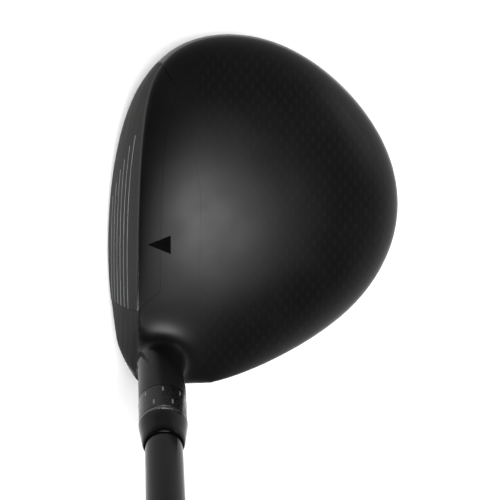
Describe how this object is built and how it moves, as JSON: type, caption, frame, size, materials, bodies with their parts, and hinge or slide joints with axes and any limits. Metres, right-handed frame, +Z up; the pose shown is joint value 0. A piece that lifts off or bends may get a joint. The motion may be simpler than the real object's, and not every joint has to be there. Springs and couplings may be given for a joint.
{
  "type": "fairway wood",
  "caption": "Right-handed adjustable fairway wood: hollow steel head with carbon crown, removable weights, screwed sleeve, tapered shaft and rubber grip.",
  "frame": {"origin": "middle of the flat land under the sole, on the ground, with the club at address", "axes": "+Z up, +X to the back of the head, +Y to the toe; the shaft rises toward -Y at 57 degrees"},
  "size_m": [0.0874, 0.6765, 0.9212],
  "materials": {
    "black_paint": "satin",
    "face_steel": "brushed",
    "carbon": "matte",
    "adhesive": "matte",
    "badge_metal": "satin",
    "weight_steel": "satin",
    "screw_steel": "satin",
    "ring_metal": "satin",
    "sleeve_metal": "satin",
    "nylon": "matte",
    "ferrule_plastic": "gloss",
    "shaft_lacquer": "gloss",
    "cork": "matte",
    "tape": "matte",
    "grip_rubber": "matte"
  },
  "bodies": {
    "shaft_assembly": {"shaft": "shaft_lacquer", "adapter_sleeve": "sleeve_metal", "sleeve_epoxy": "adhesive", "ferrule": "ferrule_plastic", "tip_plug": "cork", "grip_tape": "tape", "grip": "grip_rubber", "grip_cap": "grip_rubber"},
    "ring": {"index_ring": "ring_metal"},
    "head": {"head_body": "black_paint", "face_cup": "face_steel", "crown_panel": "carbon", "crown_bond": "adhesive", "sole_badge": "badge_metal", "badge_bond": "adhesive", "hosel_washer": "weight_steel", "screw_retainer": "nylon"},
    "hosel_screw": {"hosel_screw": "screw_steel"},
    "front_weight": {"front_weight": "weight_steel"},
    "front_weight_screw": {"front_weight_screw": "screw_steel"},
    "rear_weight": {"rear_weight": "weight_steel"},
    "rear_weight_screw": {"rear_weight_screw": "screw_steel"}
  },
  "joints": [
    {"name": "head_slide", "type": "slide", "parent": "shaft_assembly", "child": "head", "axis": [0, 0.5446, -0.8387], "range_m": [0, 0.008]},
    {"name": "ring_slide", "type": "slide", "parent": "shaft_assembly", "child": "ring", "axis": [0, 0.5446, -0.8387], "range_m": [0, 0.004]},
    {"name": "hosel_screw_turn", "type": "hinge", "parent": "head", "child": "hosel_screw", "pos_m": [-0.0283, -0.03154, 0.01006], "axis": [0, 0.5446, -0.8387], "range_deg": [0, 3600]},
    {"name": "front_weight_slide", "type": "slide", "parent": "head", "child": "front_weight", "axis": [-0.0924, 0, -0.9957], "range_m": [0, 0.0056]},
    {"name": "front_screw_turn", "type": "hinge", "parent": "front_weight", "child": "front_weight_screw", "pos_m": [-0.023, 0, 0.0015], "axis": [-0.0924, 0, -0.9957], "range_deg": [0, 2880]},
    {"name": "rear_weight_slide", "type": "slide", "parent": "head", "child": "rear_weight", "axis": [0.2079, 0, -0.9781], "range_m": [0, 0.0056]},
    {"name": "rear_screw_turn", "type": "hinge", "parent": "rear_weight", "child": "rear_weight_screw", "pos_m": [0.0295, -0.004, 0.0027], "axis": [0.2079, 0, -0.9781], "range_deg": [0, 2880]}
  ],
  "couplings": [
    {"joint": "hosel_screw_turn", "follows": "head_slide", "rad_per_m": 7854},
    {"joint": "ring_slide", "follows": "head_slide", "ratio": 0.5},
    {"joint": "front_screw_turn", "follows": "front_weight_slide", "rad_per_m": 8976},
    {"joint": "rear_screw_turn", "follows": "rear_weight_slide", "rad_per_m": 8976}
  ]
}
